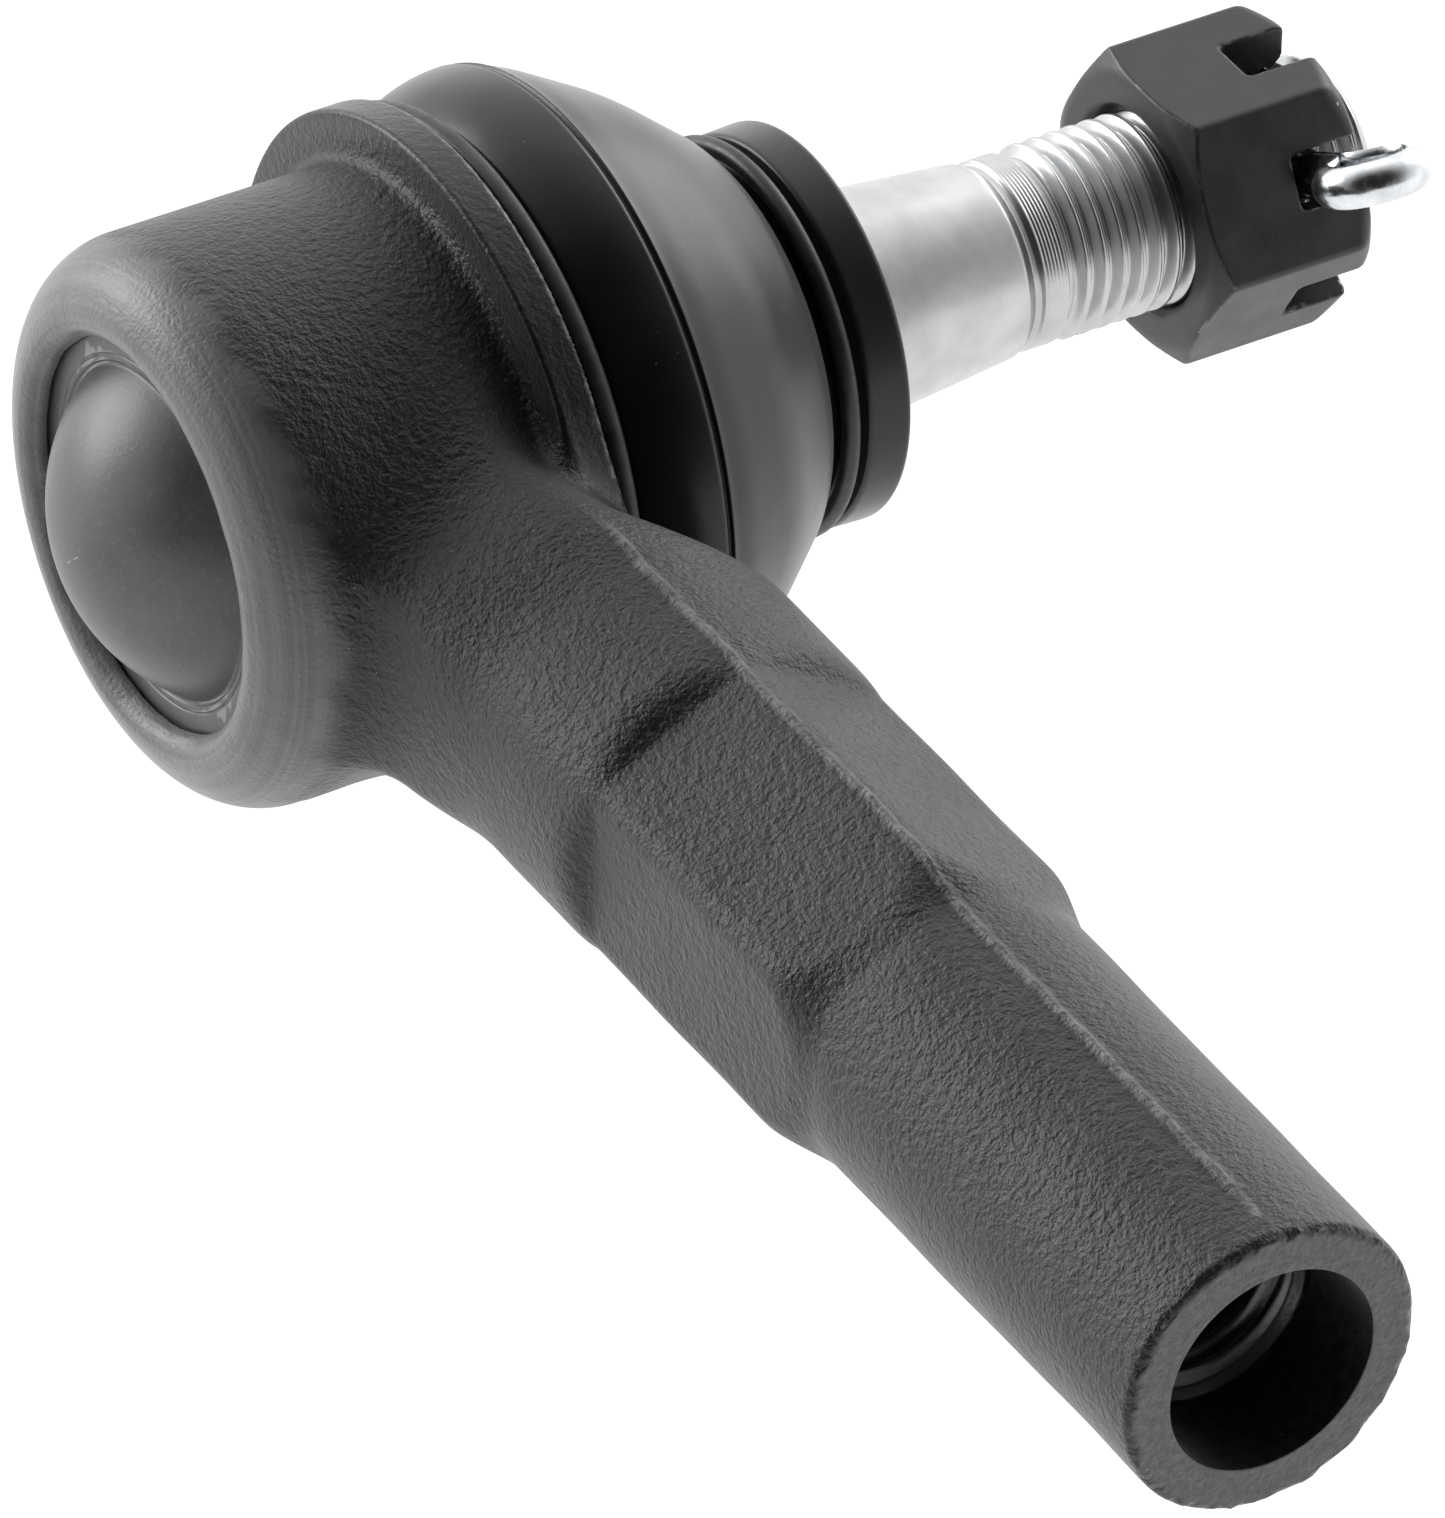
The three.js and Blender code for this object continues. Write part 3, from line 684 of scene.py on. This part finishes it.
def nut_field(x, y, z):
    """The slotted nut: hexagon, chamfered ends, three slots across the crown and the thread."""
    rho = np.hypot(x, z)
    above_seat = y - NUT_LOW[1]
    above_crown = y - NUT_HIGH[1]

    def chamfer(radius, angle, inwards):
        a = math.radians(angle)
        return (rho - radius) * math.sin(a) + inwards * math.cos(a)

    body = six_sided(x, z, NUT_FLATS / 2, NUT_TURNS, 0.3)
    body = common(body, chamfer(NUT_FLATS / 2 - 0.15, 30, -above_seat), 0.12)
    body = common(body, chamfer(NUT_FLATS / 2 + 0.1, 40, above_crown), 0.5)
    body = common(body, np.maximum(-above_seat, above_crown), 0.25)
    for turn in NUT_TURNS:
        a = math.radians(turn)
        beside = np.abs(-x * math.sin(a) + z * math.cos(a)) - SLOT_W / 2
        slot = common(beside, SLOT_FLOOR_Y - y, 0.5)
        body = less(body, slot, 0.2)
    turns = y / STUD_PITCH - np.arctan2(z, x) / (2 * math.pi)
    minor_r, thread_depth = 5.35, 0.75
    cut_r = minor_r + thread_depth * thread_wave(turns, 0.24, 0.16)
    body = less(body, (rho - cut_r) * 0.8, 0.1)
    sink_r = 6.6
    sinks = np.minimum(chamfer(sink_r, 45, above_seat), chamfer(sink_r, 45, -above_crown))
    return less(body, sinks, 0.1)


def make_nut(material):
    """The castle nut that pulls the stud's taper into the knuckle."""
    margin = 0.6
    mesh = fill_mesh(
        "castle_nut_look",
        *solid(nut_field, NUT_LOW - margin, NUT_HIGH + margin, step=0.17, smooth_over=0.05),
    )
    new_piece("castle_nut_look", mesh, material, "stud", "nut_oxide", "castle_nut")


def make_split_pin(material):
    """A half-round wire doubled back on itself: two legs through the stud and an open eye at one end."""
    eye_at, eye_r = 14.1, 2.35
    tip_at, neck_at, leg_off_axis = -15, eye_at - eye_r - 1.6, 0.08
    open_angle = math.radians(128)
    leg = np.array([(s, leg_off_axis) for s in np.linspace(tip_at, neck_at, 30)])
    eye = np.array([
        (eye_at + eye_r * math.cos(a), eye_r * math.sin(a)) for a in np.linspace(open_angle, 0, 20)
    ])
    t = np.linspace(0, 1, 12)[1:, None]
    bend = np.array([eye_at - eye_r - 0.2, leg_off_axis])
    flare = (1 - t) ** 2 * leg[-1] + 2 * t * (1 - t) * bend + t * t * eye[0]
    half = np.concatenate([leg, flare, eye[1:]])
    path = np.concatenate([half, half[:-1][::-1] * [1, -1]])
    along = np.gradient(path, axis=0)
    along /= np.linalg.norm(along, axis=1)[:, None]
    outward = np.stack([-along[:, 1], along[:, 0]], -1)
    turn = np.linspace(0, math.pi, 17)
    section = [(PIN_R * math.cos(a), PIN_R * math.sin(a) * 0.98) for a in turn]
    section += [(-PIN_R * 0.8 + PIN_R * 1.6 * k / 6, 0.0) for k in range(1, 6)]
    side_axis = np.cross(PIN_AXIS, [0, 1, 0])
    points = []
    for place, out in zip(path, outward):
        for wide, thick in section:
            along_pin, above_pin = place + out * thick
            points.append(along_pin * PIN_AXIS + wide * side_axis + [0, PIN_Y + above_pin, 0])
    mesh = fill_mesh("split_pin_look", points, ring_faces(len(path), len(section), False))
    new_piece("split_pin_look", mesh, material, "split_pin", "zinc_wire", "cotter_pin")


# ---------------------------------------------------------------- materials

class Surface:
    """A principled material with short calls for the patterns on it, whose scales are per millimetre."""

    def __init__(self, name, **plain):
        self.material = bpy.data.materials.new(name)
        self.material.use_nodes = True
        self.tree = self.material.node_tree
        self.shader = self.tree.nodes["Principled BSDF"]
        for socket, value in plain.items():
            self.shader.inputs[socket.replace("_", " ")].default_value = value
        coordinates = self.add("ShaderNodeTexCoord")
        self.place = self.stretched(coordinates.outputs["Object"], (1 / MM,) * 3)

    def add(self, kind, **settings):
        node = self.tree.nodes.new(kind)
        for key, value in settings.items():
            setattr(node, key, value)
        return node

    def link(self, source, target):
        self.tree.links.new(source, target)

    def set(self, socket, source):
        self.link(source, self.shader.inputs[socket])

    def stretched(self, source, scale, turn=0):
        node = self.add("ShaderNodeMapping")
        node.inputs["Scale"].default_value = scale
        node.inputs["Rotation"].default_value = (0, 0, turn)
        self.link(source, node.inputs["Vector"])
        return node.outputs["Vector"]

    def noise(self, scale, detail=2, roughness=0.5, place=None):
        node = self.add("ShaderNodeTexNoise")
        node.inputs["Scale"].default_value = scale
        node.inputs["Detail"].default_value = detail
        node.inputs["Roughness"].default_value = roughness
        self.link(place or self.place, node.inputs["Vector"])
        return node.outputs["Fac"]

    def cells(self, scale, randomness=1.0):
        node = self.add("ShaderNodeTexVoronoi")
        node.inputs["Scale"].default_value = scale
        node.inputs["Randomness"].default_value = randomness
        self.link(self.place, node.inputs["Vector"])
        return node.outputs["Distance"]

    def lines(self, scale, detail=3):
        """Noise that changes only with the distance from the stud's axis and along it, as a lathe leaves."""
        parts = self.add("ShaderNodeSeparateXYZ")
        self.link(self.from_ball(), parts.inputs["Vector"])
        across = self.add("ShaderNodeCombineXYZ")
        self.link(parts.outputs["X"], across.inputs["X"])
        self.link(parts.outputs["Z"], across.inputs["Y"])
        length = self.add("ShaderNodeVectorMath", operation="LENGTH")
        self.link(across.outputs["Vector"], length.inputs[0])
        place = self.add("ShaderNodeCombineXYZ")
        self.link(length.outputs["Value"], place.inputs["X"])
        self.link(parts.outputs["Y"], place.inputs["Y"])
        return self.noise(scale, detail, 0.6, place.outputs["Vector"])

    def from_ball(self):
        node = self.add("ShaderNodeVectorMath", operation="SUBTRACT")
        node.inputs[1].default_value = tuple(BALL / MM)
        self.link(self.place, node.inputs[0])
        return node.outputs["Vector"]

    def range(self, source, low, high, to_low, to_high, smooth=False):
        node = self.add("ShaderNodeMapRange", interpolation_type="SMOOTHSTEP" if smooth else "LINEAR")
        for key, value in zip(("From Min", "From Max", "To Min", "To Max"), (low, high, to_low, to_high)):
            node.inputs[key].default_value = value
        self.link(source, node.inputs["Value"])
        return node.outputs["Result"]

    def math(self, operation, a, b):
        node = self.add("ShaderNodeMath", operation=operation)
        for socket, value in zip(node.inputs, (a, b)):
            if isinstance(value, (int, float)):
                socket.default_value = value
            else:
                self.link(value, socket)
        return node.outputs["Value"]

    def mixed(self, amount, a, b):
        node = self.add("ShaderNodeMix", data_type="RGBA")
        self.link(amount, node.inputs["Factor"])
        for socket, value in ((node.inputs["A"], a), (node.inputs["B"], b)):
            colour = [s for s in node.inputs if s.name == socket.name and s.type == "RGBA"][0]
            if isinstance(value, tuple):
                colour.default_value = (*value, 1)
            else:
                self.link(value, colour)
        return [s for s in node.outputs if s.type == "RGBA"][0]

    def attribute(self, name):
        return self.add("ShaderNodeAttribute", attribute_name=name).outputs["Fac"]

    def worn_edge(self, low, high):
        geometry = self.add("ShaderNodeNewGeometry")
        return self.range(geometry.outputs["Pointiness"], low, high, 0, 1)

    def bump(self, *layers):
        """Bumps (height, depth in mm, share) laid one over another."""
        normal = None
        for height, depth, share in layers:
            node = self.add("ShaderNodeBump")
            node.inputs["Distance"].default_value = depth * MM
            if isinstance(share, (int, float)):
                node.inputs["Strength"].default_value = share
            else:
                self.link(share, node.inputs["Strength"])
            self.link(height, node.inputs["Height"])
            if normal:
                self.link(normal, node.inputs["Normal"])
            normal = node.outputs["Normal"]
        self.link(normal, self.shader.inputs["Normal"])


def grey(value, tint=0.0):
    """A near-neutral colour, a little bluer as tint grows."""
    return (value * (1 - tint), value, value * (1 + tint))


def forged_black():
    s = Surface("forged_black", Specular_IOR_Level=0.45, Sheen_Weight=0.2, Sheen_Roughness=0.4)
    lip, faced, rim, seam, bored, threaded, band = (
        s.attribute(key) for key in ("lip", "faced", "rim", "seam", "bored", "threaded", "band")
    )
    grain = s.noise(3.6, 3, 0.6)
    pebbles = s.noise(1.7, 2, 0.5)
    patches = s.noise(0.16, 4, 0.6)
    # painted glints: rare small light-grey dots in the base colour stand in for glints of light on the grain
    painted_glints = s.range(s.cells(1.25), 0.03, 0.065, 1, 0)
    rare = s.range(s.noise(0.7, 1), 0.56, 0.6, 0, 1)
    painted_glints = s.math("MULTIPLY", painted_glints, rare)
    forged = s.mixed(s.range(patches, 0.35, 0.65, 0, 1), grey(0.003), grey(0.007))
    forged = s.mixed(s.range(grain, 0.56, 0.76, 0, 0.7), forged, grey(0.04))
    rolled = s.mixed(s.range(s.lines(3.2), 0.4, 0.65, 0, 1), grey(0.13), grey(0.175))
    colour = s.mixed(s.math("MULTIPLY", lip, s.range(patches, 0.3, 0.5, 0.7, 1)), forged, rolled)
    parted = s.math("MULTIPLY", seam, s.range(s.noise(0.9, 2), 0.4, 0.6, 0.35, 0.9))
    colour = s.mixed(parted, colour, grey(0.24))
    turned_face = s.mixed(s.range(s.noise(2.2, 3), 0.4, 0.7, 0, 1), grey(0.07), grey(0.11))
    colour = s.mixed(faced, colour, turned_face)
    # painted shade: the bore's steel is coloured nearly black to stand for the shade inside the hole
    bore_painted_shade = s.mixed(s.range(s.noise(1.2, 3), 0.4, 0.6, 0, 1), grey(0.01), grey(0.035))
    colour = s.mixed(bored, colour, bore_painted_shade)
    colour = s.mixed(threaded, colour, grey(0.16))
    # painted highlight: a lighter grey line along the flange's rim stands in for light caught on that edge
    rim_painted_highlight = s.math("MULTIPLY", rim, s.range(s.noise(1.6, 2), 0.45, 0.6, 0, 0.8))
    colour = s.mixed(rim_painted_highlight, colour, grey(0.2))
    # the painted glints laid over the forging's colour
    colour = s.mixed(painted_glints, colour, grey(0.4))
    s.set("Base Color", colour)
    s.set("Metallic", s.math("MULTIPLY", bored, 0.6))
    partly = s.math("MULTIPLY", s.math("ADD", faced, band), 0.8)
    smoother = s.math("MAXIMUM", s.math("MAXIMUM", lip, bored), partly)
    rough = s.range(patches, 0.3, 0.7, 0.34, 0.42)
    s.set("Roughness", s.math("SUBTRACT", rough, s.math("MULTIPLY", smoother, 0.04)))
    rest = s.math("SUBTRACT", 1.0, s.math("MULTIPLY", smoother, 0.85))
    tooled = s.math("MAXIMUM", lip, faced)
    s.bump(
        (pebbles, 0.18, rest), (grain, 0.15, rest), (s.lines(4), 0.01, lip), (s.noise(3.5, 3), 0.05, tooled),
    )
    return s.material


def cover_steel():
    s = Surface("cover_steel", Metallic=0.2, Specular_IOR_Level=0.5)
    patches = s.noise(0.22, 4, 0.55)
    colour = s.mixed(s.range(patches, 0.3, 0.7, 0, 1), grey(0.075), grey(0.11))
    colour = s.mixed(s.range(s.noise(3.5, 3), 0.55, 0.8, 0, 0.5), colour, grey(0.17))
    colour = s.mixed(s.worn_edge(0.515, 0.56), colour, grey(0.26))
    s.set("Base Color", colour)
    s.set("Roughness", s.range(patches, 0.3, 0.7, 0.34, 0.44))
    s.bump((s.noise(3.5, 3), 0.02, 0.6), (s.lines(4), 0.006, 0.5))
    return s.material


def boot_rubber():
    s = Surface("boot_rubber", Specular_IOR_Level=0.42, Sheen_Weight=0.32, Sheen_Roughness=0.35)
    bloom = s.noise(0.12, 4, 0.55)
    colour = s.mixed(s.range(bloom, 0.35, 0.7, 0, 1), grey(0.003, 0.04), grey(0.007, 0.05))
    rare = s.range(s.noise(0.5, 1), 0.58, 0.62, 0, 1)
    dust = s.math("MULTIPLY", s.range(s.cells(1.1), 0.03, 0.06, 1, 0), rare)
    s.set("Base Color", s.mixed(dust, colour, grey(0.25)))
    s.set("Roughness", s.range(bloom, 0.3, 0.7, 0.28, 0.36))
    s.bump((s.noise(4, 2), 0.012, 0.5), (s.noise(0.25, 1), 0.15, 0.35))
    return s.material


def ring_black():
    s = Surface("ring_black", Specular_IOR_Level=0.5)
    s.set("Base Color", s.mixed(s.range(s.noise(0.8, 3), 0.4, 0.6, 0, 1), grey(0.012), grey(0.024)))
    s.set("Roughness", s.range(s.noise(1.5, 2), 0.3, 0.7, 0.34, 0.46))
    s.bump((s.noise(4, 2), 0.015, 0.5))
    return s.material


def machined_steel():
    s = Surface("machined_steel", Metallic=1.0)
    tool_marks = s.lines(6.5)
    colour = s.mixed(s.range(s.noise(0.35, 4), 0.3, 0.7, 0, 1), grey(0.47, 0.015), grey(0.6, 0.01))
    s.set("Base Color", colour)
    s.set("Roughness", s.range(tool_marks, 0.3, 0.7, 0.27, 0.37))
    s.bump((tool_marks, 0.006, 0.6), (s.noise(2.4, 3), 0.006, 0.4))
    return s.material


def nut_oxide():
    s = Surface("nut_oxide", Metallic=0.3, Specular_IOR_Level=0.7)
    patches = s.noise(0.35, 4, 0.6)
    colour = s.mixed(s.range(patches, 0.35, 0.65, 0, 1), grey(0.016), grey(0.03))
    nicks = s.math("MULTIPLY", s.worn_edge(0.53, 0.58), s.range(s.noise(1.1, 2), 0.52, 0.6, 0, 1))
    s.set("Base Color", s.mixed(nicks, colour, grey(0.5)))
    s.set("Roughness", s.range(patches, 0.3, 0.7, 0.36, 0.48))
    s.bump((s.noise(3.2, 3), 0.018, 0.5), (s.noise(0.6, 2), 0.05, 0.3))
    return s.material


def zinc_wire():
    s = Surface("zinc_wire", Metallic=1.0)
    colour = s.mixed(s.range(s.noise(0.7, 4), 0.35, 0.65, 0, 1), grey(0.62, 0.03), grey(0.8, 0.02))
    s.set("Base Color", colour)
    s.set("Roughness", s.range(s.noise(1.6, 3), 0.3, 0.7, 0.14, 0.3))
    s.bump((s.noise(0.8, 3), 0.06, 0.5))
    return s.material


def spring_steel():
    s = Surface("spring_steel_look", Metallic=1.0)
    s.set("Base Color", s.mixed(s.range(s.noise(1, 3), 0.35, 0.65, 0, 1), grey(0.2, 0.03), grey(0.38, 0.02)))
    s.set("Roughness", s.range(s.noise(3, 3), 0.3, 0.7, 0.25, 0.42))
    s.bump((s.noise(4, 2), 0.01, 0.5))
    return s.material


def bearing_polymer():
    s = Surface("bearing_polymer_look")
    patches = s.range(s.noise(0.4, 4), 0.35, 0.65, 0, 1)
    s.set("Base Color", s.mixed(patches, (0.62, 0.58, 0.49), (0.72, 0.69, 0.6)))
    s.set("Roughness", s.range(s.noise(1.5, 3), 0.3, 0.7, 0.42, 0.58))
    s.bump((s.noise(3, 2), 0.01, 0.5))
    return s.material


# ---------------------------------------------------------------- camera, floor and light

def make_camera():
    """A long lens at the photograph's viewing angle."""
    azimuth, elevation, roll = (math.radians(a) for a in (58.028, 36.839, 1.753))
    aim = BALL + np.array([19.2, 11.8, -13.4]) * MM
    distance = 1.1538
    focal_px, long_side_px, sensor_mm = 20000, 1518, 36
    level = Vector((math.cos(azimuth), math.sin(azimuth), 0))
    outwards = Vector((math.sin(azimuth), -math.cos(azimuth), 0))
    back = outwards * math.cos(elevation) + Vector((0, 0, math.sin(elevation)))
    upright = back.cross(level)
    right = level * math.cos(roll) + upright * math.sin(roll)
    up = back.cross(right)
    camera = bpy.data.objects.new("camera", bpy.data.cameras.new("camera"))
    camera.data.sensor_width = sensor_mm
    camera.data.lens = sensor_mm * focal_px / long_side_px
    camera.data.clip_start, camera.data.clip_end = 0.05, 50
    turn = Matrix((right, up, back)).transposed().to_4x4()
    camera.matrix_world = Matrix.Translation(Vector(aim) + back * distance) @ turn
    bpy.context.scene.collection.objects.link(camera)
    bpy.context.scene.camera = camera


def make_floor():
    """A pale floor lit from below, like a photographer's light table."""
    half = 4.0
    corners = [(-half, -half, 0), (half, -half, 0), (half, half, 0), (-half, half, 0)]
    mesh = bpy.data.meshes.new("floor")
    mesh.from_pydata(corners, [], [(0, 1, 2, 3)])
    floor = bpy.data.objects.new("floor", mesh)
    bpy.context.scene.collection.objects.link(floor)
    material = bpy.data.materials.new("floor")
    material.use_nodes = True
    shader = material.node_tree.nodes["Principled BSDF"]
    shader.inputs["Base Color"].default_value = (0.12, 0.12, 0.12, 1)
    shader.inputs["Roughness"].default_value = 0.9
    shader.inputs["Emission Color"].default_value = (1, 1, 1, 1)
    shader.inputs["Emission Strength"].default_value = 1.08
    mesh.materials.append(material)


def make_light():
    """A white room that is dark overhead, where the camera stands, and a large soft box on each side."""
    world = bpy.data.worlds.new("studio")
    bpy.context.scene.world = world
    world.use_nodes = True
    tree = world.node_tree
    background = tree.nodes["Background"]
    direction = tree.nodes.new("ShaderNodeTexCoord").outputs["Generated"]
    dot = tree.nodes.new("ShaderNodeVectorMath")
    dot.operation = "DOT_PRODUCT"
    dot.inputs[1].default_value = Vector((0.68, -0.42, 0.6)).normalized()
    tree.links.new(direction, dot.inputs[0])
    fall = tree.nodes.new("ShaderNodeMapRange")
    fall.interpolation_type = "SMOOTHSTEP"
    for key, value in (("From Min", -0.2), ("From Max", 0.88), ("To Min", 1.4), ("To Max", 0.02)):
        fall.inputs[key].default_value = value
    tree.links.new(dot.outputs["Value"], fall.inputs["Value"])
    tree.links.new(fall.outputs["Result"], background.inputs["Strength"])
    background.inputs["Color"].default_value = (1, 1, 1, 1)
    centre = Vector((0, 0, 0.02))
    for name, place, power, size in (
        ("left_box", (-1.1, -0.7, 0.35), 11, 0.8),
        ("right_box", (-0.5, 1.2, 0.5), 5, 0.8),
    ):
        light = bpy.data.objects.new(name, bpy.data.lights.new(name, "AREA"))
        light.data.energy = power
        light.data.size = size
        light.location = place
        light.rotation_mode = "QUATERNION"
        light.rotation_quaternion = (centre - Vector(place)).to_track_quat("-Z", "Y")
        bpy.context.scene.collection.objects.link(light)


# ---------------------------------------------------------------- the scene

make_camera()
make_floor()
make_light()
make_housing(forged_black())
make_cover(cover_steel())
black = ring_black()
make_retaining_ring(black)
make_neck_ring(black)
make_boot(boot_rubber())
make_stud(machined_steel())
make_nut(nut_oxide())
make_split_pin(zinc_wire())
spring_look, seat_look = spring_steel(), bearing_polymer()
for node, look in (
    ("preload_spring", spring_look),
    ("lower_bearing_seat", seat_look),
    ("upper_bearing_seat", seat_look),
):
    for material_slot in frame["nodes"][node].material_slots:
        material_slot.material = look

bpy.context.scene.view_settings.view_transform = "Standard"
